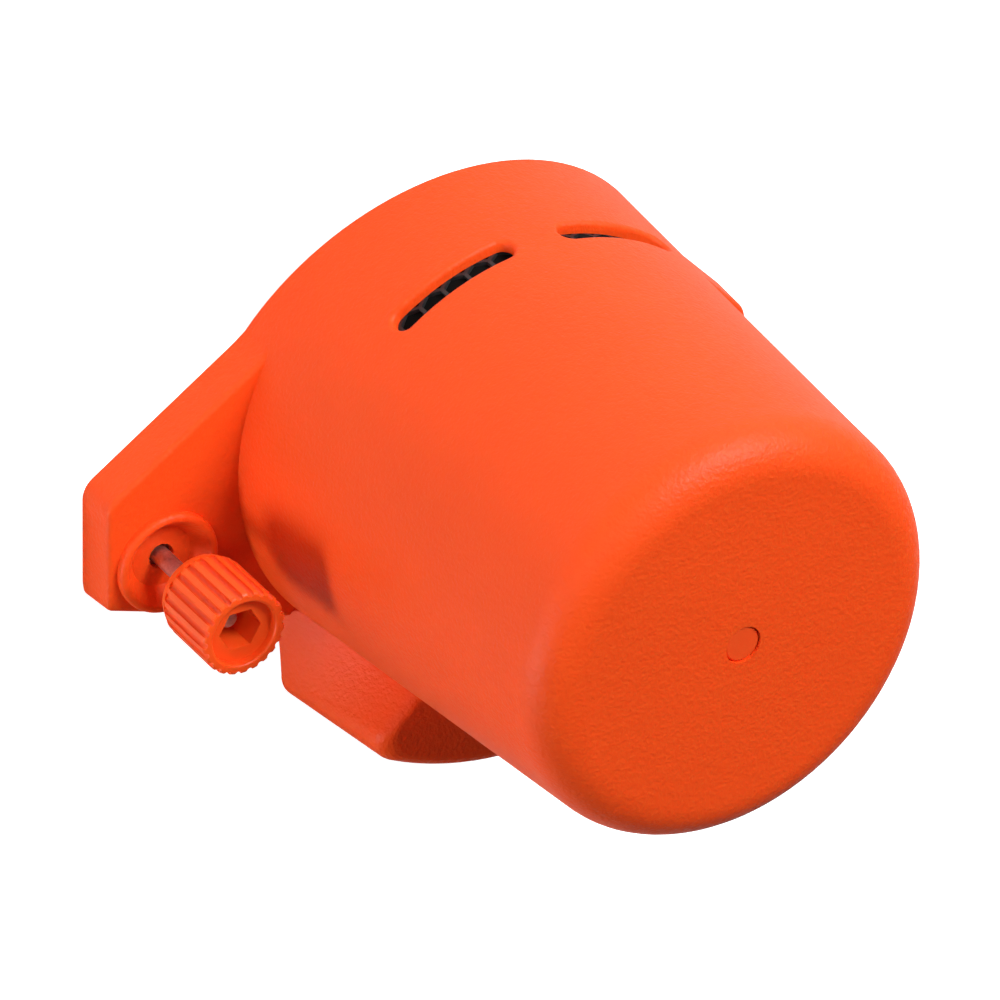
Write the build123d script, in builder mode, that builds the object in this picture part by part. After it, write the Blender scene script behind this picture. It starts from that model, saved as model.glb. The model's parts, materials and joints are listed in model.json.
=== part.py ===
from build123d import *
import os
from math import asin, atan, cos, degrees, radians, sin, sqrt, tan

os.makedirs("parts", exist_ok=True)

# A cup-shaped sounder. Z = 0 is the flat rear face, +Z runs to the closed end, +Y is up,
# the cup axis is the Z axis. All lengths in millimetres.

# ---- cup ----
CUP_HEIGHT = 85.5
CUP_REAR_R = 41.85
CUP_FRONT_R = 35.0          # radius of the cone carried on to the closed end
CUP_EDGE_FILLET = 7.1
WALL = 2.6
DRAFT = degrees(atan((CUP_REAR_R - CUP_FRONT_R) / CUP_HEIGHT))

# ---- mounting ears ----
LEFT_EAR_REACH = 64.8
RIGHT_EAR_TOP = (53.4, 3.2)     # upper outer corner
RIGHT_EAR_LOW = (61.0, -23.0)   # lower outer corner
EAR_THICK = 7.1
LEFT_EAR_CORNER_R = 4.0
RIGHT_EAR_CORNER_R = 5.0
EAR_BLEND_R = 13.0
EAR_EDGE_R = 0.9
EAR_LOW_Y = -18.3           # lower end of the outer edge
LEFT_EAR_TOP_Y = 1.1        # upper end of the outer edge, left
LEFT_SCREW = (-54.0, -11.6)
RIGHT_SCREW = (48.2, -17.3)
SCREWS = (LEFT_SCREW, RIGHT_SCREW)
BOSS_R = 8.7
BOSS_RISE = 1.5
POCKET_R = 7.5
POCKET_FLOOR_R = 5.2
POCKET_FLOOR_Z = 5.6
EAR_FLOOR_T = 1.4

# ---- lower block ----
BLOCK_REAR_R = 54.4
BLOCK_FRONT_R = 53.0
BLOCK_REAR_HALF = 33.4
BLOCK_FRONT_HALF = 29.0
BLOCK_REAR_LEAN = 0.5       # how far the side walls lean in towards the cup, each across its own width
BLOCK_FRONT_LEAN = 10.5
BLOCK_DEPTH = 28.5
BLOCK_CORNER_R = 4.0
BLOCK_EDGE_R = 2.0
BLOCK_RECESS = 11.0          # shallow ribbed recess in its rear face

# ---- sound slots ----
SLOT_Z = 25.15
SLOT_W = 3.9
SLOT_SPANS = ((52.0, 83.5), (96.0, 128.5))

# ---- rear face: flat across the middle, eased off above and below ----
EASE_TOP_Y, EASE_TOP_DEG = 20.0, 11.0
EASE_LOW_Y, EASE_LOW_DEG = -16.0, 12.5

# ---- rear cover and battery bay ----
COVER_Z = 5.4
COVER_T = 2.4
COVER_TOP = COVER_Z + COVER_T
GASKET_T = 0.8
LEDGE_T = 2.0
COLUMN_R = 3.0
COLUMN_PCR = 33.0
DOOR_L, DOOR_W, DOOR_T = 54.0, 37.5, 1.2
PAD_L, PAD_LOW_Y, PAD_TOP_Y, PAD_WALL = 46.0, -14.5, 16.5, 1.6    # raised pad of the door, flush with the ears
BAY_L, BAY_W = 50.4, 34.0
CELL_R, CELL_L, CELL_PITCH = 5.25, 44.5, 11.2
FOAM_T = 1.25
CELL_Z = COVER_Z + DOOR_T + FOAM_T + CELL_R
TRAY_T = 1.4
TRAY_TOP = CELL_Z + CELL_R + 0.25 + TRAY_T
DIVIDER_T = 1.4

# ---- mesh and membrane behind the slots, the mesh let into a groove of the wall ----
MESH_Z0 = TRAY_TOP + DIVIDER_T + 0.2
MESH_Z1 = 31.6
MESH_T = 0.7
MEMBRANE_T = 0.4
HEX_AF, HEX_PITCH = 3.75, 4.3

# ---- sounder stack ----
BAFFLE_Z = 36.0
BAFFLE_T = 2.4
BAFFLE_TOP = BAFFLE_Z + BAFFLE_T
POST_R, POST_PCR = 3.0, 29.0
TWEETER_R = 24.0
TWEETER_H = 12.4

# ---- circuit board and front button ----
BOARD_Z = 70.0
BOARD_T = 1.6
BOARD_R = 25.4
STUD_R, STUD_PCR = 2.7, 20.0
SWITCH_H = 3.5
PLUNGER_R = 1.7
PLUNGER_UP = 1.1
BUTTON_R = 3.0
BUTTON_GAP = 0.1
BUTTON_SUNK = 0.3
FLANGE_R, FLANGE_T = 5.0, 1.4

# ---- captive thumbscrews ----
KNOB_R = 7.2
KNOB_L = 15.9
KNOB_FRONT_Z = 31.1         # drawn out, as the object is shown
FLUTES = 22
SOCKET_AF = 6.35
SOCKET_DEPTH = 8.6
MOUTH_R, MOUTH_DEPTH = 5.5, 1.5
SHANK_SUNK = 4.6            # end of the shank below the knob's front
SHANK_R = 1.5
THREAD_R = 2.0
TIP_Z = 0.3
RETAINER_T = 0.6
RETAINER_R = 5.0
RETAINER_PLAY = 0.1
RETAINER_LIP = 0.35


def cup_r(z):
    return CUP_REAR_R - (CUP_REAR_R - CUP_FRONT_R) * z / CUP_HEIGHT


def inner_r(z):
    return cup_r(z) - WALL / cos(radians(DRAFT))


END_Z = CUP_HEIGHT - WALL   # inner face of the closed end
CEILING_Z = POCKET_FLOOR_Z - EAR_FLOOR_T          # underside of the ear floor
RETAINER_Z = CEILING_Z - RETAINER_T - RETAINER_PLAY


def save(part, name):
    part.label = name
    export_step(part, "parts/%s.step" % name)


def polar(r, a):
    return (r * cos(radians(a)), r * sin(radians(a)))


# ---------------------------------------------------------------- front housing
def block_face(z, outer, half, lean, corner):
    """Lower block section at height z: an arc round the cup axis between two leaning side walls."""
    low = -sqrt(outer ** 2 - half ** 2)
    top = -24.0 - 0.85 * lean
    with BuildSketch(Plane.XY.offset(z)) as s:
        with BuildLine():
            Polyline((-half, low), (-half + lean, top), (half - lean, top), (half, low))
            ThreePointArc((half, low), (0, -outer), (-half, low))
        make_face()
        fillet(s.vertices().sort_by(Axis.Y)[0:2], corner)
    return s.sketch.face()


def block_section(z, inset):
    """Lower block section between its rear and front outlines, drawn in by inset."""
    f = z / BLOCK_DEPTH
    return block_face(z, BLOCK_REAR_R + (BLOCK_FRONT_R - BLOCK_REAR_R) * f - inset,
                      BLOCK_REAR_HALF + (BLOCK_FRONT_HALF - BLOCK_REAR_HALF) * f - inset,
                      BLOCK_REAR_LEAN + (BLOCK_FRONT_LEAN - BLOCK_REAR_LEAN) * f, BLOCK_CORNER_R)


def build_ears():
    """Both ears as one drafted plate, its plan drawn at the rear face."""
    with BuildPart() as ears:
        with BuildSketch(Plane.XY) as plan:
            Circle(CUP_REAR_R - 0.25)
            with BuildLine():
                Polyline((-34, 22), (-LEFT_EAR_REACH, LEFT_EAR_TOP_Y), (-LEFT_EAR_REACH, EAR_LOW_Y),
                         (LEFT_SCREW[0], EAR_LOW_Y - 3.7), (-31, -30.0), (-10, 0), close=True)
            make_face()
            with BuildLine():
                Polyline((34, 22.6), RIGHT_EAR_TOP, RIGHT_EAR_LOW,
                         (RIGHT_SCREW[0], RIGHT_SCREW[1] - 11.6), (31, -30.0), (10, 0), close=True)
            make_face()
            for x, y, r in ((-LEFT_EAR_REACH, LEFT_EAR_TOP_Y, LEFT_EAR_CORNER_R), (-LEFT_EAR_REACH, EAR_LOW_Y, 1.8),
                            (*RIGHT_EAR_TOP, RIGHT_EAR_CORNER_R), (*RIGHT_EAR_LOW, 1.8)):
                fillet([v for v in plan.vertices() if Vector(v.X - x, v.Y - y).length < 0.01], r)
            fillet([v for v in plan.vertices() if 15 < v.Y < 30 and abs(v.X) > 30], EAR_BLEND_R)
        extrude(amount=EAR_THICK, taper=DRAFT)
        fillet(ears.faces().sort_by(Axis.Z)[-1].edges(), EAR_EDGE_R)
    return ears.part


def build_housing():
    cup = revolve(make_face(Polyline((0, 0, 0), (CUP_REAR_R, 0, 0), (CUP_FRONT_R, 0, CUP_HEIGHT),
                                     (0, 0, CUP_HEIGHT), (0, 0, 0)).edges()), Axis.Z)
    inset = extrude(block_face(-0.1, BLOCK_REAR_R - WALL - 0.8, BLOCK_REAR_HALF - WALL - 1.6, 3.0, 2.6),
                    BLOCK_RECESS + 0.1)
    ribs = [Pos(x, -BLOCK_REAR_R, BLOCK_RECESS / 2) * Box(2.0, 40, BLOCK_RECESS + 1.0) for x in (-21, -7, 7, 21)]
    hollow = inset - cup - ribs
    ears = build_ears()

    with BuildPart() as front_housing:
        # lower block, its front edge rounded by stepping the sections in
        steps = [(0, 0), (BLOCK_DEPTH - BLOCK_EDGE_R, 0)]
        for i in range(1, 6):
            a = radians(18 * i)
            steps.append((BLOCK_DEPTH - BLOCK_EDGE_R * (1 - sin(a)), BLOCK_EDGE_R * (1 - cos(a))))
        loft([block_section(z, inset) for z, inset in steps], ruled=True)
        add(hollow, mode=Mode.SUBTRACT)

        # the cup itself
        with BuildSketch(Plane.XZ):
            with BuildLine():
                Polyline((0, 0), (CUP_REAR_R, 0), (CUP_FRONT_R, CUP_HEIGHT), (0, CUP_HEIGHT), close=True)
            make_face()
        revolve(axis=Axis.Z)
        fillet(front_housing.edges().filter_by(GeomType.CIRCLE).sort_by(Axis.Z)[-1], CUP_EDGE_FILLET)

        # the two ears
        add(ears)

        # raised rings round the thumbscrews
        with BuildSketch(Plane.XY.offset(EAR_THICK)):
            with Locations(*SCREWS):
                Circle(BOSS_R)
        extrude(amount=BOSS_RISE)
        rings = [e for e in front_housing.edges().filter_by(GeomType.CIRCLE)
                 if abs(e.center().Z - EAR_THICK - BOSS_RISE) < 0.01 and abs(e.radius - BOSS_R) < 0.01]
        fillet(rings, 0.8)

        # rear face eased off above and below its flat middle
        for y, way, deg in ((EASE_TOP_Y, 1, EASE_TOP_DEG), (EASE_LOW_Y, -1, EASE_LOW_DEG)):
            with BuildSketch(Plane.YZ):
                with BuildLine():
                    Polyline((y, -1), (y, 0), (y + way * 60, 60 * tan(radians(deg))), (y + way * 60, -1), close=True)
                make_face()
            extrude(amount=80, both=True, mode=Mode.SUBTRACT)

        # inside of the cup
        with BuildSketch(Plane.XZ):
            with BuildLine():
                Polyline((0, -0.1), (inner_r(-0.1), -0.1), (inner_r(END_Z), END_Z), (0, END_Z), close=True)
            make_face()
        revolve(axis=Axis.Z, mode=Mode.SUBTRACT)

        # groove that takes the slot mesh
        with BuildSketch(Plane.XZ):
            with BuildLine():
                Polyline((inner_r(MESH_Z0) - 0.5, MESH_Z0), (inner_r(MESH_Z0) + MESH_T, MESH_Z0),
                         (inner_r(MESH_Z1) + MESH_T, MESH_Z1), (inner_r(MESH_Z1) - 0.5, MESH_Z1), close=True)
            make_face()
        revolve(axis=Axis.Z, mode=Mode.SUBTRACT)

        # ledge for the cover gasket
        with BuildSketch(Plane.XY.offset(COVER_TOP + GASKET_T)):
            Circle(cup_r(COVER_TOP) - 1.0)
            Circle(COLUMN_PCR + COLUMN_R - 0.6, mode=Mode.SUBTRACT)
        extrude(amount=LEDGE_T)

        # columns for the cover, posts for the baffle, studs for the board
        with BuildSketch(Plane.XY.offset(COVER_TOP)):
            with PolarLocations(COLUMN_PCR, 4, start_angle=45):
                Circle(COLUMN_R)
        extrude(amount=CUP_HEIGHT - 20 - COVER_TOP)
        with BuildSketch(Plane.XY.offset(BAFFLE_TOP)):
            with PolarLocations(POST_PCR, 3):
                Circle(POST_R)
        extrude(amount=END_Z - BAFFLE_TOP + 0.5)
        with BuildSketch(Plane.XY.offset(BOARD_Z + BOARD_T)):
            with PolarLocations(STUD_PCR, 3, start_angle=30):
                Circle(STUD_R)
        extrude(amount=END_Z - BOARD_Z - BOARD_T + 0.5)

        # screw pilot holes
        with BuildSketch(Plane.XY.offset(COVER_TOP)):
            with PolarLocations(COLUMN_PCR, 4, start_angle=45):
                Circle(1.25)
        extrude(amount=9, mode=Mode.SUBTRACT)
        with BuildSketch(Plane.XY.offset(BAFFLE_TOP)):
            with PolarLocations(POST_PCR, 3):
                Circle(1.25)
        extrude(amount=8, mode=Mode.SUBTRACT)
        with BuildSketch(Plane.XY.offset(BOARD_Z + BOARD_T)):
            with PolarLocations(STUD_PCR, 3, start_angle=30):
                Circle(1.0)
        extrude(amount=6, mode=Mode.SUBTRACT)

        # button hole
        with BuildSketch(Plane.XY.offset(END_Z - 1)):
            Circle(BUTTON_R + BUTTON_GAP)
        extrude(amount=WALL + 2, mode=Mode.SUBTRACT)

        # sound slots, round ended, with a softened outer lip
        for a0, a1 in SLOT_SPANS:
            n = 12
            trim = degrees(asin(SLOT_W / 2 / cup_r(SLOT_Z)))
            angles = [a0 + trim + (a1 - a0 - 2 * trim) * i / n for i in range(n + 1)]
            far = (CUP_REAR_R + 12) / cos(radians((a1 - a0) / n / 2))
            with BuildSketch(Plane.XY.offset(SLOT_Z - SLOT_W / 2)):
                with BuildLine():
                    Polyline((0, 0), *[polar(far, a) for a in angles], close=True)
                make_face()
                Circle(COLUMN_PCR + 1.5, mode=Mode.SUBTRACT)
            extrude(amount=SLOT_W, mode=Mode.SUBTRACT)
            for a in (angles[0], angles[-1]):
                x, y = polar(COLUMN_PCR + 1.5, a)
                with BuildSketch(Plane(origin=(x, y, SLOT_Z), z_dir=(cos(radians(a)), sin(radians(a)), 0))):
                    Circle(SLOT_W / 2)
                extrude(amount=20, mode=Mode.SUBTRACT)
        lips = [e for e in front_housing.edges().filter_by_position(
                    Axis.Z, SLOT_Z - SLOT_W / 2 - 0.05, SLOT_Z + SLOT_W / 2 + 0.05)
                if e.center().Y > 10 and abs(Vector(e.center().X, e.center().Y).length
                - cup_r(e.center().Z)) < 0.45]
        fillet(lips, 0.8)

        # thumbscrew pockets, shank holes and retainer recesses
        deep = EAR_THICK + BOSS_RISE - POCKET_FLOOR_Z
        with Locations(*[(x, y, POCKET_FLOOR_Z + deep / 2) for x, y in SCREWS]):
            Cone(POCKET_FLOOR_R, POCKET_R, deep, mode=Mode.SUBTRACT)
        with BuildSketch(Plane.XY.offset(-1)):
            with Locations(*SCREWS):
                Circle(THREAD_R + 0.15)
        extrude(amount=POCKET_FLOOR_Z + 2, mode=Mode.SUBTRACT)
        with BuildSketch(Plane.XY.offset(-1)):
            with Locations(*SCREWS):
                Circle(RETAINER_R - RETAINER_LIP)
        extrude(amount=1 + CEILING_Z, mode=Mode.SUBTRACT)
        with BuildSketch(Plane.XY.offset(RETAINER_Z - RETAINER_PLAY)):
            with Locations(*SCREWS):
                Circle(RETAINER_R + 0.25)
        extrude(amount=CEILING_Z - RETAINER_Z + RETAINER_PLAY, mode=Mode.SUBTRACT)
        with BuildSketch(Plane.XY.offset(-1)):
            with Locations(*SCREWS):
                Circle(RETAINER_R + 1.0)
        extrude(amount=1 + RETAINER_Z - 0.7, mode=Mode.SUBTRACT)
        rings = [e for e in front_housing.edges().filter_by(GeomType.CIRCLE)
                 if abs(e.center().Z - EAR_THICK - BOSS_RISE) < 0.01 and abs(e.radius - POCKET_R) < 0.01]
        fillet(rings, 0.6)
    save(front_housing.part, "front_housing")


build_housing()


# ---------------------------------------------------------------- small helpers for the other pieces
def pan_screw(x, y, z_seat, down, r=1.2, head_r=2.2, head_t=1.4, length=8.0):
    """Cross-recess pan screw; its head sits on z_seat, outside, and its shank points up the +Z way
    (down=False) or the -Z way (down=True)."""
    s = -1 if down else 1
    head = Pos(x, y, z_seat - s * head_t / 2) * Cylinder(head_r, head_t)
    head = fillet(head.edges().filter_by(GeomType.CIRCLE).sort_by(Axis.Z)[-1 if down else 0], 0.5)
    bars = Pos(x, y, z_seat - s * (head_t - 0.35)) * (Box(2.4, 0.55, 0.8) + Box(0.55, 2.4, 0.8))
    shank = Pos(x, y, z_seat + s * length / 2) * Cylinder(r, length)
    return head - bars + shank


def gather(pieces):
    return Compound(children=list(pieces))


def notched_disc(radius, z, t, notches):
    """Flat disc with round notches; notches is a list of (x, y, r)."""
    with BuildPart() as disc:
        with BuildSketch(Plane.XY.offset(z)):
            Circle(radius)
            for x, y, r in notches:
                with Locations((x, y)):
                    Circle(r, mode=Mode.SUBTRACT)
        extrude(amount=t)
    return disc.part


COLUMNS = [polar(COLUMN_PCR, a) for a in (45, 135, 225, 315)]
POSTS = [polar(POST_PCR, a) for a in (0, 120, 240)]
STUDS = [polar(STUD_PCR, a) for a in (30, 150, 270)]
LEAD_X = -31.0
DOOR_SCREW_X = DOOR_L / 2 + 1.9

# ---------------------------------------------------------------- rear cover
with BuildPart() as back_cover:
    with BuildSketch(Plane.XY.offset(COVER_Z)):
        Circle(inner_r(COVER_TOP) - 0.15)
    extrude(amount=COVER_T)
    fillet(back_cover.edges().filter_by(GeomType.CIRCLE).sort_by(Axis.Z)[0], 0.5)
    with BuildSketch(Plane.XY.offset(COVER_TOP)):
        with Locations((-DOOR_SCREW_X, 0), (DOOR_SCREW_X, 0)):
            Circle(2.2)
    extrude(amount=3.0)
    with BuildSketch(Plane.XY.offset(COVER_Z)):
        RectangleRounded(DOOR_L + 0.5, DOOR_W + 0.5, 3.2)
        with Locations((-DOOR_SCREW_X, 0), (DOOR_SCREW_X, 0)):
            Circle(3.55)
    extrude(amount=DOOR_T, mode=Mode.SUBTRACT)
    with BuildSketch(Plane.XY.offset(COVER_Z)):
        RectangleRounded(BAY_L, BAY_W, 1.5)
    extrude(amount=COVER_T, mode=Mode.SUBTRACT)
    with BuildSketch(Plane.XY.offset(COVER_Z)):
        with Locations(*COLUMNS):
            Circle(2.5)
    extrude(amount=1.0, mode=Mode.SUBTRACT)
    with BuildSketch(Plane.XY.offset(COVER_Z)):
        with Locations(*COLUMNS):
            Circle(1.35)
    extrude(amount=COVER_T, mode=Mode.SUBTRACT)
    with BuildSketch(Plane.XY.offset(COVER_Z)):
        with Locations((-DOOR_SCREW_X, 0), (DOOR_SCREW_X, 0)):
            Circle(0.95)
    extrude(amount=5.0, mode=Mode.SUBTRACT)
save(back_cover.part, "back_cover")

with BuildPart() as cover_gasket:
    with BuildSketch(Plane.XY.offset(COVER_TOP)):
        Circle(inner_r(COVER_TOP) - 0.3)
        Circle(COLUMN_PCR + COLUMN_R + 0.15, mode=Mode.SUBTRACT)
    extrude(amount=GASKET_T)
save(cover_gasket.part, "cover_gasket")

save(gather(pan_screw(x, y, COVER_Z + 1.0, False, length=9.0, head_t=0.9) for x, y in COLUMNS),
     "cover_screws")

# ---------------------------------------------------------------- battery door
with BuildPart() as battery_door:
    with BuildSketch(Plane.XY.offset(COVER_Z)):
        RectangleRounded(DOOR_L, DOOR_W, 3.0)
        with Locations((-DOOR_SCREW_X, 0), (DOOR_SCREW_X, 0)):
            Circle(3.3)
    extrude(amount=DOOR_T)
    pad_w, pad_y = PAD_TOP_Y - PAD_LOW_Y, (PAD_TOP_Y + PAD_LOW_Y) / 2
    with BuildSketch(Plane.XY):
        with Locations((0, pad_y)):
            RectangleRounded(PAD_L, pad_w, 4.0)
    extrude(amount=COVER_Z)
    fillet(battery_door.faces().sort_by(Axis.Z)[0].edges(), 0.8)
    with BuildSketch(Plane.XY.offset(PAD_WALL)):
        cell_l, cell_w = (PAD_L - 5 * PAD_WALL) / 4, (pad_w - 4 * PAD_WALL) / 3
        with Locations((0, pad_y)):
            with GridLocations(cell_l + PAD_WALL, cell_w + PAD_WALL, 4, 3):
                RectangleRounded(cell_l, cell_w, 1.0)
    extrude(amount=COVER_Z + DOOR_T - PAD_WALL, mode=Mode.SUBTRACT)
    with BuildSketch(Plane.XY):
        with Locations(*[(x, pad_y) for x in (-15, -12, -9, 9, 12, 15)]):
            SlotOverall(14, 1.2, rotation=90)
    extrude(amount=0.6, mode=Mode.SUBTRACT)
    with BuildSketch(Plane.XY.offset(COVER_Z)):
        with Locations((-DOOR_SCREW_X, 0), (DOOR_SCREW_X, 0)):
            Circle(1.1)
    extrude(amount=DOOR_T, mode=Mode.SUBTRACT)
save(battery_door.part, "battery_door")

save(gather(pan_screw(x, 0, COVER_Z, False, r=0.9, head_r=1.9, head_t=0.8, length=4.8)
            for x in (-DOOR_SCREW_X, DOOR_SCREW_X)), "door_screws")

with BuildPart() as door_foam:
    with BuildSketch(Plane.XY.offset(COVER_Z + DOOR_T)):
        RectangleRounded(38, BAY_W - 3, 1.0)
    extrude(amount=FOAM_T)
save(door_foam.part, "door_foam")

# ---------------------------------------------------------------- battery bay
CELLS_Y = (-CELL_PITCH, 0.0, CELL_PITCH)
with BuildPart() as battery_tray:
    with BuildSketch(Plane.XY.offset(COVER_TOP)):
        RectangleRounded(BAY_L + 1.6, BAY_W + 2.4, 2.0)
    extrude(amount=TRAY_TOP - COVER_TOP)
    with BuildSketch(Plane.XY.offset(COVER_TOP)):
        RectangleRounded(BAY_L, BAY_W, 1.0)
    extrude(amount=TRAY_TOP - COVER_TOP - TRAY_T, mode=Mode.SUBTRACT)
    with BuildSketch(Plane.XY.offset(CELL_Z + 2.0)):
        for y in (-CELL_PITCH / 2, CELL_PITCH / 2):
            with Locations((0, y)):
                Rectangle(36, 0.5)
    extrude(amount=TRAY_TOP - TRAY_T - CELL_Z - 2.0)
save(battery_tray.part, "battery_tray")

cells, contacts = [], []
for i, y in enumerate(CELLS_Y):
    way = 1 if i % 2 == 0 else -1
    plus = way * (BAY_L / 2 - 0.5)          # face of the plate the nub touches
    body = Pos(plus - way * (0.9 + (CELL_L - 0.9) / 2), y, CELL_Z) * Rot(0, 90, 0) * Cylinder(
        CELL_R, CELL_L - 0.9)
    body = fillet(body.edges(), 0.5)
    nub = Pos(plus - way * 0.75, y, CELL_Z) * Rot(0, 90, 0) * Cylinder(1.9, 1.5)
    cells.append(body + nub)
    for side in (-1, 1):
        contacts.append(Pos(side * (BAY_L / 2 - 0.25), y, CELL_Z + 0.6) * Box(0.5, 9.0, 9.0))
    gap = BAY_L - 1.0 - CELL_L
    start = -way * (BAY_L / 2 - 0.5)
    coil = Helix(pitch=(gap - 0.6) / 3.5, height=gap - 0.6, radius=2.6)
    wire = sweep(Plane(origin=coil @ 0, z_dir=coil % 0) * Circle(0.28), path=coil, is_frenet=True)
    contacts.append(Pos(start + way * 0.3, y, CELL_Z) * Rot(0, 90 * way, 0) * wire)
save(gather(cells), "battery_cells")
save(gather(contacts), "battery_contacts")

# ---------------------------------------------------------------- sound chamber
save(notched_disc(inner_r(TRAY_TOP + DIVIDER_T) - 0.2, TRAY_TOP, DIVIDER_T,
                  [(x, y, COLUMN_R + 0.2) for x, y in COLUMNS] + [(LEAD_X, 0, 3.2)]), "chamber_divider")


def lining(z0, z1, a0, a1, gap, t):
    """Curved sheet lying gap mm inside the cup wall between two heights and two bearings."""
    with BuildPart() as sheet:
        with BuildSketch(Plane.XZ):
            with BuildLine():
                Polyline((inner_r(z0) - gap, z0), (inner_r(z1) - gap, z1), (inner_r(z1) - gap - t, z1),
                         (inner_r(z0) - gap - t, z0), close=True)
            make_face()
        revolve(axis=Axis.Z, revolution_arc=a1 - a0)
    return Rot(0, 0, a0) * sheet.part


nets, skins = [], []
for a0, a1 in SLOT_SPANS:
    lo, hi = (a0 - 1.4, a1 + 3.4) if a0 < 60 else (a0 - 3.4, a1 + 1.4)
    net = lining(MESH_Z0, MESH_Z1, lo, hi, -MESH_T, MESH_T)
    step = degrees(HEX_PITCH / inner_r(SLOT_Z))
    cuts = []
    for row in (-1, 0, 1):
        count = int((hi - lo - 3.0) / step) - (1 if row else 0)
        mid = (lo + hi) / 2
        for i in range(count):
            a = mid + (i - (count - 1) / 2) * step
            x, y = polar(inner_r(SLOT_Z) - 2, a)
            at = Plane(origin=(x, y, SLOT_Z + row * HEX_PITCH * 0.866), z_dir=(cos(radians(a)), sin(radians(a)), 0),
                       x_dir=(-sin(radians(a)), cos(radians(a)), 0))
            cuts.append(extrude(at * RegularPolygon(HEX_AF / 2, 6, major_radius=False, rotation=90), 6))
    nets.append(net - cuts)
    skins.append(lining(MESH_Z0, MESH_Z1, lo, hi, 0.0, MEMBRANE_T))
save(gather(nets), "vent_mesh")
save(gather(skins), "vent_membrane")

# ---------------------------------------------------------------- baffle and tweeter
baffle = notched_disc(inner_r(BAFFLE_TOP) - 0.2, BAFFLE_Z, BAFFLE_T,
                      [(x, y, COLUMN_R + 0.2) for x, y in COLUMNS] + [(LEAD_X, 0, 3.0)]
                      + [(x, y, 1.35) for x, y in POSTS]
                      + [(*polar(21.8, a), 1.05) for a in (45, 135, 225, 315)])
baffle = baffle - Pos(0, 0, BAFFLE_Z) * Cylinder(19.0, 8)
save(baffle, "speaker_baffle")
save(gather(pan_screw(x, y, BAFFLE_Z, False) for x, y in POSTS), "baffle_screws")

with BuildPart() as tweeter_gasket:
    with BuildSketch(Plane.XY.offset(BAFFLE_TOP)):
        Circle(TWEETER_R)
        Circle(19.4, mode=Mode.SUBTRACT)
        with PolarLocations(21.8, 4, start_angle=45):
            Circle(1.4, mode=Mode.SUBTRACT)
    extrude(amount=0.8)
save(tweeter_gasket.part, "tweeter_gasket")

FRAME_Z = BAFFLE_TOP + 0.8
with BuildPart() as tweeter_frame:
    with BuildSketch(Plane.XZ):
        with BuildLine():
            Polyline((19.4, FRAME_Z), (TWEETER_R, FRAME_Z), (TWEETER_R, FRAME_Z + 2.2), (19.6, FRAME_Z + 2.2),
                     (16.5, FRAME_Z + TWEETER_H), (0, FRAME_Z + TWEETER_H), (0, FRAME_Z + TWEETER_H - 1.4),
                     (15.2, FRAME_Z + TWEETER_H - 1.4), (18.2, FRAME_Z + 1.6), (19.4, FRAME_Z + 1.2),
                     close=True)
        make_face()
    revolve(axis=Axis.Z)
    with BuildSketch(Plane.XY.offset(FRAME_Z)):
        with PolarLocations(21.8, 4, start_angle=45):
            Circle(1.05)
    extrude(amount=3, mode=Mode.SUBTRACT)
save(tweeter_frame.part, "tweeter_frame")

save(gather(pan_screw(x, y, FRAME_Z + 2.2, True, r=1.0, head_r=1.9, head_t=1.2, length=4.6)
            for x, y in [polar(21.8, a) for a in (45, 135, 225, 315)]), "tweeter_screws")

CONE_Z = FRAME_Z + 1.2
with BuildPart() as piezo_cone:
    with BuildSketch(Plane.XZ):
        with BuildLine():
            Polyline((19.3, CONE_Z - 0.9), (19.3, CONE_Z - 0.3), (17.6, CONE_Z - 0.3), (5.0, CONE_Z + 5.4),
                     (0, CONE_Z + 5.4), (0, CONE_Z + 4.9), (4.8, CONE_Z + 4.9), (17.2, CONE_Z - 0.9), close=True)
        make_face()
    revolve(axis=Axis.Z)
save(piezo_cone.part, "piezo_cone")

with BuildPart() as piezo_disc:
    with BuildSketch(Plane.XY.offset(CONE_Z + 5.4)):
        Circle(11.5)
    extrude(amount=0.3)
    with BuildSketch(Plane.XY.offset(CONE_Z + 5.7)):
        Circle(8.5)
    extrude(amount=0.25)
save(piezo_disc.part, "piezo_disc")

# ---------------------------------------------------------------- circuit board and what sits on it
board = notched_disc(BOARD_R, BOARD_Z, BOARD_T, [(x, y, 1.1) for x, y in STUDS])
save(board, "main_board")
save(gather(pan_screw(x, y, BOARD_Z, False, r=0.95, head_r=1.9, head_t=1.2, length=6.5) for x, y in STUDS),
     "board_screws")

BOARD_TOP = BOARD_Z + BOARD_T
with BuildPart() as tact_switch:
    with BuildSketch(Plane.XY.offset(BOARD_TOP)):
        RectangleRounded(6.2, 6.2, 0.5)
    extrude(amount=SWITCH_H)
    with BuildSketch(Plane.XY.offset(BOARD_TOP + 1.2)):
        Circle(PLUNGER_R + 0.1)
    extrude(amount=SWITCH_H, mode=Mode.SUBTRACT)
    for sx in (-1, 1):
        for sy in (-1, 1):
            with Locations((sx * 3.9, sy * 2.2, BOARD_TOP + 0.2)):
                Box(1.8, 0.7, 0.4)
save(tact_switch.part, "tact_switch")


def chip(x, y, w, d, h, legs, pitch):
    """Leaded package hanging under the board."""
    body = Pos(x, y, BOARD_Z - 0.15 - h / 2) * Box(w, d, h)
    body = chamfer(body.faces().sort_by(Axis.Z)[0].edges(), 0.25)
    for i in range(legs):
        v = (i - (legs - 1) / 2) * pitch
        body += Pos(x, y + v, BOARD_Z - 0.2) * Box(w + 1.6, 0.35, 0.4)
        body += Pos(x + v, y, BOARD_Z - 0.2) * Box(0.35, d + 1.6, 0.4)
    return body


save(chip(-9.5, -9.5, 10, 10, 1.4, 8, 1.1), "controller_chip")

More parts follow.
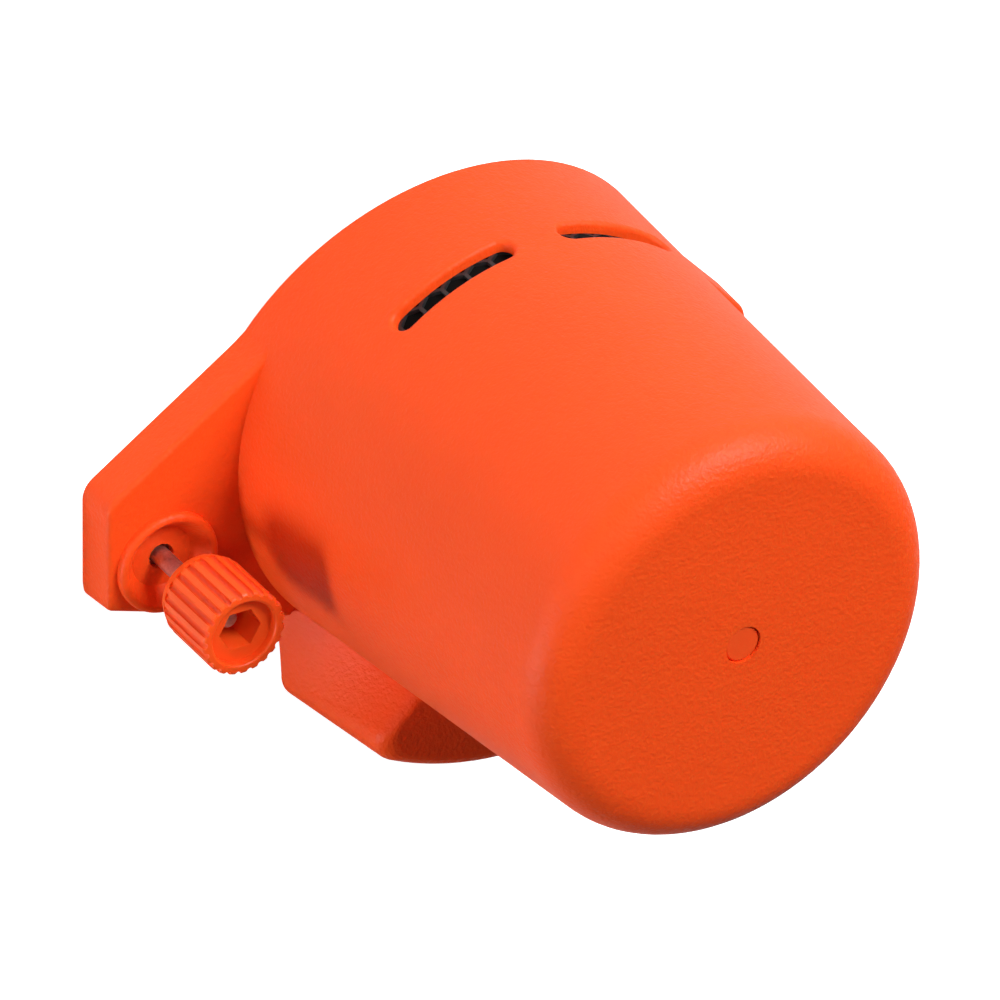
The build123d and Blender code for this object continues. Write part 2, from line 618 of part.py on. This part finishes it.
radio = Pos(10.5, -12.5, BOARD_Z - 0.5) * Box(14, 10, 1.0)
radio += Pos(11.5, -12.5, BOARD_Z - 2.0) * Box(10, 8.6, 2.2)
save(radio, "radio_module")

cap = Pos(11.5, 2.0, BOARD_Z - 5.8) * Cylinder(4.0, 11.6)
cap = fillet(cap.edges().filter_by(GeomType.CIRCLE).sort_by(Axis.Z)[0], 0.5)
cap = cap - Pos(11.5, 2.0, BOARD_Z - 9.6) * (Cylinder(4.4, 0.5) - Cylinder(3.75, 0.5))
save(cap, "reservoir_capacitor")

coil = Pos(-1.5, 2.0, BOARD_Z - 0.5) * Cylinder(4.6, 1.0) + Pos(-1.5, 2.0, BOARD_Z - 3.0) * Cylinder(3.4, 4.4)
coil += Pos(-1.5, 2.0, BOARD_Z - 5.6) * Cylinder(4.6, 1.0)
save(coil, "step_up_coil")

bits = []
for x, y in ((-16, 3), (-16, 6), (-13, 3), (-13, 6), (1, -4), (4, -4), (-1, -7), (18, 6), (18, 3), (3, 8)):
    bits.append(Pos(x, y, BOARD_Z - 0.4) * Box(2.0, 1.25, 0.8))
for x, y, w in ((-21.0, 0, 6.0), (0, 17.0, 8.0)):
    bits.append(Pos(x, y, BOARD_Z - 2.0) * (Box(5.0, w, 4.0) if x else Box(w, 5.0, 4.0)))
save(gather(bits), "small_components")


def lead(points, r=0.7, bend=2.5):
    path = FilletPolyline(*points, radius=bend)
    return sweep(Plane(origin=path @ 0, z_dir=path % 0) * Circle(r), path=path)


save(gather(lead([(-BAY_L / 2 - 0.8, y, CELL_Z), (LEAD_X, y, CELL_Z), (LEAD_X, y, 62.0), (-22.0, y, 62.0),
                  (-22.0, y, BOARD_Z - 4.0)]) for y in (-1.1, 1.1)), "battery_leads")
save(gather(lead([(x, 12.0, FRAME_Z + TWEETER_H), (x, 12.0, 59.0), (x, 17.0, 59.0), (x, 17.0, BOARD_Z - 4.0)],
                 r=0.6, bend=1.6) for x in (-1.4, 1.4)), "speaker_leads")

# ---------------------------------------------------------------- front button and the switch plunger
BUTTON_TOP = CUP_HEIGHT - BUTTON_SUNK
PLUNGER_TOP = BOARD_TOP + SWITCH_H + PLUNGER_UP
FLANGE_TOP = END_Z - 0.3
with BuildPart() as front_button:
    with BuildSketch(Plane.XY.offset(PLUNGER_TOP)):
        Circle(2.2)
    extrude(amount=FLANGE_TOP - FLANGE_T - PLUNGER_TOP)
    with BuildSketch(Plane.XY.offset(FLANGE_TOP - FLANGE_T)):
        Circle(FLANGE_R)
    extrude(amount=FLANGE_T)
    with BuildSketch(Plane.XY.offset(FLANGE_TOP)):
        Circle(BUTTON_R)
    extrude(amount=BUTTON_TOP - FLANGE_TOP)
    fillet(front_button.edges().filter_by(GeomType.CIRCLE).sort_by(Axis.Z)[-1], 0.4)
save(front_button.part, "front_button")

with BuildPart() as switch_plunger:
    with BuildSketch(Plane.XY.offset(BOARD_TOP + 2.3)):
        Circle(PLUNGER_R)
    extrude(amount=PLUNGER_TOP - BOARD_TOP - 2.3)
save(switch_plunger.part, "switch_plunger")

# ---------------------------------------------------------------- captive thumbscrews
KNOB_REAR_Z = KNOB_FRONT_Z - KNOB_L
SOCKET_Z = KNOB_FRONT_Z - SOCKET_DEPTH


def build_knob(x, y):
    with BuildPart() as knob:
        with BuildSketch(Plane.XZ):
            with BuildLine():
                Polyline((0, KNOB_REAR_Z), (KNOB_R - 3.0, KNOB_REAR_Z), (KNOB_R - 0.9, KNOB_REAR_Z + 1.6),
                         (KNOB_R, KNOB_REAR_Z + 4.0), (KNOB_R, KNOB_FRONT_Z), (0, KNOB_FRONT_Z), close=True)
            make_face()
        revolve(axis=Axis.Z)
        shoulder = [e for e in knob.edges().filter_by(GeomType.CIRCLE)
                    if e.center().Z < KNOB_REAR_Z + 4.1 and e.radius > 3]
        fillet(shoulder, 0.8)
        fillet(knob.edges().filter_by(GeomType.CIRCLE).sort_by(Axis.Z)[-1], 0.6)
        with BuildSketch(Plane.XY.offset(KNOB_REAR_Z + 3.2)):
            with PolarLocations(KNOB_R + 0.25, FLUTES):
                SlotOverall(1.9, 1.2)
        extrude(amount=KNOB_L, mode=Mode.SUBTRACT)
        with BuildSketch(Plane.XY.offset(KNOB_FRONT_Z - MOUTH_DEPTH)):
            Circle(MOUTH_R)
        extrude(amount=MOUTH_DEPTH, mode=Mode.SUBTRACT)
        fillet([e for e in knob.edges().filter_by(GeomType.CIRCLE) if abs(e.center().Z - KNOB_FRONT_Z) < 0.01
                and abs(e.radius - MOUTH_R) < 0.01], 0.5)
        with BuildSketch(Plane.XY.offset(SOCKET_Z)):
            RegularPolygon(SOCKET_AF / 2, 6, major_radius=False)
        extrude(amount=SOCKET_DEPTH, mode=Mode.SUBTRACT)
        with BuildSketch(Plane.XY.offset(KNOB_REAR_Z)):
            Circle(SHANK_R)
        extrude(amount=KNOB_L, mode=Mode.SUBTRACT)
        with BuildSketch(Plane.XY.offset(KNOB_REAR_Z + 2.5)):
            Circle(2.4)
        extrude(amount=1.6, mode=Mode.SUBTRACT)
    return Pos(x, y, 0) * knob.part


def build_shank(x, y):
    top = KNOB_FRONT_Z - SHANK_SUNK
    thread_top = RETAINER_Z - 0.35
    pts = [(0, TIP_Z), (THREAD_R - 0.4, TIP_Z), (THREAD_R, TIP_Z + 0.4)]
    pts += [(THREAD_R, thread_top - 0.5), (SHANK_R, thread_top), (SHANK_R, KNOB_REAR_Z + 2.5), (2.4, KNOB_REAR_Z + 2.5),
            (2.4, KNOB_REAR_Z + 4.1), (SHANK_R, KNOB_REAR_Z + 4.1), (SHANK_R, top - 0.3), (SHANK_R - 0.3, top),
            (0, top)]
    with BuildPart() as shank:
        with BuildSketch(Plane.XZ):
            with BuildLine():
                Polyline(*pts, close=True)
            make_face()
        revolve(axis=Axis.Z)
    return Pos(x, y, 0) * shank.part


def build_retainer(x, y):
    with BuildPart() as ring:
        with BuildSketch(Plane.XY.offset(RETAINER_Z)):
            Circle(RETAINER_R)
            Circle(SHANK_R + 0.08, mode=Mode.SUBTRACT)
        extrude(amount=RETAINER_T)
    return Pos(x, y, 0) * ring.part


for side, (x, y) in (("left", LEFT_SCREW), ("right", RIGHT_SCREW)):
    save(build_knob(x, y), side + "_knob")
    save(build_shank(x, y), side + "_shank")
    save(build_retainer(x, y), side + "_retainer")
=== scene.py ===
import json
import math

import bpy
from mathutils import Matrix, Vector


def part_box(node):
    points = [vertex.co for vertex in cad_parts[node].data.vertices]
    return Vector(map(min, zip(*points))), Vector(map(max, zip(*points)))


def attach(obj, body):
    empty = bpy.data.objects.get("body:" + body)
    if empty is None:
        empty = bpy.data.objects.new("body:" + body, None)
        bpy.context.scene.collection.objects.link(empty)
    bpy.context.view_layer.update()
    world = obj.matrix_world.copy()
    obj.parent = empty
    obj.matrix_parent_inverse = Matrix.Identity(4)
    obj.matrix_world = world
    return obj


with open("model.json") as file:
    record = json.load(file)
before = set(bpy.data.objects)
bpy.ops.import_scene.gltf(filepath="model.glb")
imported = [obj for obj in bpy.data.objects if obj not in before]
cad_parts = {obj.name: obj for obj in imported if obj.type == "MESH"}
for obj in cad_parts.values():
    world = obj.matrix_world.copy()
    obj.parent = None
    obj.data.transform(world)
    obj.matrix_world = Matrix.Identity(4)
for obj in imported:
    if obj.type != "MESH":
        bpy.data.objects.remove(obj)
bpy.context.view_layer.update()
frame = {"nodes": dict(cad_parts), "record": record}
MM = 0.001

# ------------------------------------------------------------------ materials
mats = {}


def tree(name):
    """New material, kept in mats under its name: its nodes, its shader and object coordinates."""
    m = bpy.data.materials.new(name)
    m.use_nodes = True
    mats[name] = m
    t = m.node_tree
    shader = next(n for n in t.nodes if n.type == "BSDF_PRINCIPLED")
    coords = t.nodes.new("ShaderNodeTexCoord")
    return t, shader, coords.outputs["Object"]


def noise(t, where, scale, detail=3.0, rough=0.5):
    n = t.nodes.new("ShaderNodeTexNoise")
    n.inputs["Scale"].default_value = scale
    n.inputs["Detail"].default_value = detail
    n.inputs["Roughness"].default_value = rough
    t.links.new(where, n.inputs["Vector"])
    return n.outputs["Fac"]


def ramp(t, fac, stops):
    """Colour ramp with one element for each (position, colour) of stops."""
    r = t.nodes.new("ShaderNodeValToRGB")
    while len(r.color_ramp.elements) < len(stops):
        r.color_ramp.elements.new(0.5)
    for e, (at, c) in zip(r.color_ramp.elements, stops):
        e.position = at
        e.color = (*c, 1.0)
    t.links.new(fac, r.inputs["Fac"])
    return r.outputs["Color"]


def spread(t, fac, lo, hi):
    """Maps 0 to 1 onto lo to hi."""
    m = t.nodes.new("ShaderNodeMapRange")
    m.inputs["To Min"].default_value = lo
    m.inputs["To Max"].default_value = hi
    t.links.new(fac, m.inputs["Value"])
    return m.outputs["Result"]


def bump(t, height, distance, strength, below=None):
    b = t.nodes.new("ShaderNodeBump")
    b.inputs["Distance"].default_value = distance
    b.inputs["Strength"].default_value = strength
    t.links.new(height, b.inputs["Height"])
    if below is not None:
        t.links.new(below, b.inputs["Normal"])
    return b.outputs["Normal"]


def shade(c, k):
    return tuple(min(1.0, v * k) for v in c)


DRIFT_SCALE = 45.0                 # noise scale of the slow colour drift
COARSE = 0.38                      # scale of the coarse grain, as a share of the fine grain's
ROUGH_SWING = 0.07
SKIN_RADIUS = (1.0, 0.22, 0.08)    # red light travels furthest in orange plastic
SKIN_SCALE = 0.0022


def plastic(name, colour, rough=0.5, grain=2200.0, depth=0.00006, strength=0.5, glow=0.0,
            wobble=0.06, specular=0.5):
    """Moulded plastic: slow colour drift, spark-eroded grain, roughness that varies with it."""
    t, s, at = tree(name)
    slow = noise(t, at, DRIFT_SCALE, 2.0)
    t.links.new(ramp(t, slow, [(0.3, shade(colour, 1 - wobble)), (0.7, shade(colour, 1 + wobble))]),
                s.inputs["Base Color"])
    fine = noise(t, at, grain, 2.0, 0.6)
    t.links.new(spread(t, fine, rough - ROUGH_SWING, rough + ROUGH_SWING), s.inputs["Roughness"])
    coarse = noise(t, at, grain * COARSE, 1.0)
    waves = bump(t, coarse, depth * 0.9, strength * 0.5)
    t.links.new(bump(t, fine, depth, strength, waves), s.inputs["Normal"])
    s.inputs["Specular IOR Level"].default_value = specular
    if glow:
        s.inputs["Subsurface Weight"].default_value = glow
        s.inputs["Subsurface Radius"].default_value = SKIN_RADIUS
        s.inputs["Subsurface Scale"].default_value = SKIN_SCALE


def metal(name, colour, rough=0.32, scratch=900.0):
    """Turned or rolled metal with fine scratches and slightly uneven gloss."""
    t, s, at = tree(name)
    lay = noise(t, at, scratch, 6.0, 0.7)
    t.links.new(ramp(t, lay, [(0.35, shade(colour, 0.8)), (0.65, shade(colour, 1.12))]),
                s.inputs["Base Color"])
    t.links.new(spread(t, lay, rough - 0.1, rough + 0.12), s.inputs["Roughness"])
    t.links.new(bump(t, lay, 0.00002, 0.35), s.inputs["Normal"])
    s.inputs["Metallic"].default_value = 1.0


def banded(name, first, second, cut):
    """Printed sleeve: first colour up to x = cut in metres, second beyond it."""
    t, s, at = tree(name)
    split = t.nodes.new("ShaderNodeSeparateXYZ")
    t.links.new(at, split.inputs["Vector"])
    step = t.nodes.new("ShaderNodeMath")
    step.operation = "GREATER_THAN"
    step.inputs[1].default_value = cut
    t.links.new(split.outputs["X"], step.inputs[0])
    t.links.new(ramp(t, step.outputs["Value"], [(0.0, first), (1.0, second)]),
                s.inputs["Base Color"])
    fine = noise(t, at, 700.0)
    t.links.new(spread(t, fine, 0.22, 0.38), s.inputs["Roughness"])
    t.links.new(bump(t, fine, 0.00003, 0.2), s.inputs["Normal"])


ORANGE = (0.92, 0.08, 0.009)
MOULDED = {"grain": 1500.0, "depth": 0.0002, "strength": 0.8, "glow": 0.2, "wobble": 0.02,
           "specular": 0.2}

# outside
plastic("orange_shell", ORANGE, 0.46, **MOULDED)
plastic("orange_cover", ORANGE, 0.5, **MOULDED)
plastic("orange_door", shade(ORANGE, 0.97), 0.5, **MOULDED)
plastic("orange_button", shade(ORANGE, 0.98), 0.42, 1900.0, 0.00005, 0.4, glow=0.12, wobble=0.02)
plastic("orange_knob", (0.93, 0.095, 0.01), 0.4, 2600.0, 0.00004, 0.35, glow=0.25, wobble=0.03,
        specular=0.35)
# inside
plastic("gasket_rubber", (0.02, 0.02, 0.02), 0.7)
plastic("foam", (0.05, 0.05, 0.055), 0.9, 900.0, 0.0003, 0.9)
plastic("tray_plastic", (0.02, 0.02, 0.022), 0.5)
plastic("mesh_black", (0.02, 0.02, 0.021), 0.45, 3000.0, 0.00002, 0.3)
plastic("membrane_black", (0.003, 0.003, 0.003), 0.9, 4000.0, 0.00005, 0.6, specular=0.15)
plastic("baffle_plastic", (0.025, 0.025, 0.028), 0.55)
plastic("cone_paper", (0.03, 0.027, 0.024), 0.8, 1200.0, 0.0001, 0.7)
plastic("board_green", (0.008, 0.09, 0.03), 0.32, 600.0, 0.00003, 0.3, wobble=0.15)
plastic("switch_black", (0.015, 0.015, 0.016), 0.4)
plastic("chip_black", (0.012, 0.012, 0.013), 0.6)
plastic("component_ceramic", (0.35, 0.24, 0.14), 0.45, wobble=0.2)
plastic("lead_jacket", (0.35, 0.012, 0.01), 0.35)
# metals and printed sleeves
metal("screw_steel", (0.5, 0.5, 0.51))
metal("contact_steel", (0.72, 0.71, 0.68), 0.22)
metal("disc_brass", (0.75, 0.52, 0.2), 0.28)
metal("shield_steel", (0.62, 0.62, 0.6), 0.3)
metal("coil_copper", (0.7, 0.3, 0.13), 0.3)
metal("shank_steel", (0.62, 0.57, 0.54), 0.42, 1400.0)
metal("retainer_steel", (0.5, 0.5, 0.5))
banded("cell_jacket", (0.01, 0.01, 0.012), (0.62, 0.36, 0.1), 0.006)
banded("capacitor_sleeve", (0.012, 0.02, 0.06), (0.45, 0.45, 0.45), 0.0145)

for part in frame["record"]["subparts"]:
    o = frame["nodes"][part["node"]]
    o.data.materials.clear()
    o.data.materials.append(mats[part["material_slot"]])

# ------------------------------------------------------------------ screw threads (mm)
THREAD_R = 1.98                    # just under the surface of the shank's end
THREAD_PITCH = 0.7
THREAD_HEIGHT = 0.12
THREAD_START, THREAD_END = 0.6, 2.2    # from the shank's end
THREAD_SINK = 0.04                 # how far the root reaches into the shank
STEPS = 40                         # in one turn
FADE = 0.4                         # of a turn, where the ridge rises and sinks


def ridge(name, x, y, z0, z1, body, slot):
    """Helical thread ridge wound on a plain screw end."""
    corners = ((-THREAD_SINK, -0.42, False), (THREAD_HEIGHT, -0.1, True),
               (THREAD_HEIGHT, 0.1, True), (-THREAD_SINK, 0.42, False))
    count = int((z1 - z0) / THREAD_PITCH * STEPS)
    verts, faces = [], []
    for i in range(count + 1):
        a = 2 * math.pi * i / STEPS
        z = z0 + THREAD_PITCH * i / STEPS
        fade = min(1.0, i / (STEPS * FADE), (count - i) / (STEPS * FADE))
        for out, rise, crest in corners:
            r = THREAD_R + (out * fade if crest else out)
            verts.append(((x + r * math.cos(a)) * MM, (y + r * math.sin(a)) * MM,
                          (z + THREAD_PITCH * rise) * MM))
        if i:
            p, q = 4 * (i - 1), 4 * i
            for k in range(4):
                faces.append((p + k, p + (k + 1) % 4, q + (k + 1) % 4, q + k))
    faces += [(3, 2, 1, 0), (4 * count, 4 * count + 1, 4 * count + 2, 4 * count + 3)]
    me = bpy.data.meshes.new(name)
    me.from_pydata(verts, [], faces)
    me.polygons.foreach_set("use_smooth", [True] * len(me.polygons))
    o = bpy.data.objects.new(name, me)
    bpy.context.scene.collection.objects.link(o)
    o.data.materials.append(mats[slot])
    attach(o, body)


for side in ("left", "right"):
    lo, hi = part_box(side + "_shank")
    axis = (lo + hi) / 2 / MM
    end = lo.z / MM
    ridge(side + "_thread", axis.x, axis.y, end + THREAD_START, end + THREAD_END,
          side + "_screw", "shank_steel")

# ------------------------------------------------------------------ floor and world
FLOOR_SIZE = 6.0
FLOOR_DROP = 0.00002               # keeps the floor just off the object's rear plane
FLOOR_GLOW = 0.92                  # seen by the camera only, so that it lights nothing
WORLD_STRENGTH = 0.08

bpy.ops.mesh.primitive_plane_add(size=FLOOR_SIZE, location=(0, 0, -FLOOR_DROP))
floor = bpy.context.object
floor.name = "floor"
t, s, at = tree("floor_white")
t.links.new(ramp(t, noise(t, at, 3.0), [(0.3, (0.86, 0.86, 0.86)), (0.7, (0.88, 0.88, 0.88))]),
            s.inputs["Base Color"])
s.inputs["Roughness"].default_value = 0.9
s.inputs["Emission Color"].default_value = (1, 1, 1, 1)
path = t.nodes.new("ShaderNodeLightPath")
t.links.new(spread(t, path.outputs["Is Camera Ray"], 0.0, FLOOR_GLOW),
            s.inputs["Emission Strength"])
floor.data.materials.append(mats["floor_white"])

world = bpy.data.worlds.new("studio")
bpy.context.scene.world = world
world.use_nodes = True
background = world.node_tree.nodes["Background"]
background.inputs["Color"].default_value = (1.0, 1.0, 1.0, 1.0)
background.inputs["Strength"].default_value = WORLD_STRENGTH

bpy.context.scene.view_settings.view_transform = "Standard"

# ------------------------------------------------------------------ camera
TURN_X, TURN_Y, TURN_Z = 0.55769, 0.58300, -0.03660
UNIT = 35.0                        # mm, the length that the camera's place is given in
NEARNESS = 0.0324372               # one over the distance in units
ASIDE, ALONG = 0.208508, -0.458906     # the camera's shift across its view, in units
AIM_HEIGHT = 3.86                  # mm above the rear plane, on the cup's axis
SENSOR = 36.0
SPAN = 4.501246                    # units that the picture is wide, at the aim

turn = (Matrix.Rotation(TURN_Z, 3, "Z") @ Matrix.Rotation(TURN_X, 3, "X")
        @ Matrix.Rotation(TURN_Y, 3, "Y"))
right, up, back = turn.row[0].copy(), turn.row[1].copy(), turn.row[2].copy()
spot = (turn.transposed() @ Vector((ASIDE, ALONG, 1 / NEARNESS)) * UNIT * MM
        + Vector((0, 0, AIM_HEIGHT)) * MM)
cam = bpy.data.objects.new("camera", bpy.data.cameras.new("camera"))
bpy.context.scene.collection.objects.link(cam)
cam.data.sensor_width = SENSOR
cam.data.lens = SENSOR / (SPAN * NEARNESS)
cam.data.clip_start, cam.data.clip_end = 0.05, 20.0
cam.matrix_world = Matrix.Translation(spot) @ turn.transposed().to_4x4()
bpy.context.scene.camera = cam

# ------------------------------------------------------------------ light
LIT_POINT = Vector((0, -0.003, 0.04))      # the middle of the object


def softbox(name, toward, distance, size, power):
    """Area light aimed at the object; toward is in camera axes (right, up, back)."""
    d = (right * toward[0] + up * toward[1] + back * toward[2]).normalized()
    light = bpy.data.lights.new(name, "AREA")
    light.shape = "RECTANGLE"
    light.size, light.size_y = size
    light.energy = power
    o = bpy.data.objects.new(name, light)
    bpy.context.scene.collection.objects.link(o)
    o.location = LIT_POINT + d * distance
    o.rotation_mode = "QUATERNION"
    o.rotation_quaternion = d.to_track_quat("Z", "Y")


softbox("key", (-0.75, 0.9, 0.5), 0.9, (0.34, 0.34), 39.0)
softbox("side", (-1.0, -0.45, 0.3), 0.9, (0.3, 0.5), 10.0)
softbox("fill", (0.8, 0.5, 0.8), 1.1, (0.45, 0.45), 14.5)
softbox("front", (-0.3, -0.12, 1.0), 1.2, (0.2, 0.2), 1.8)
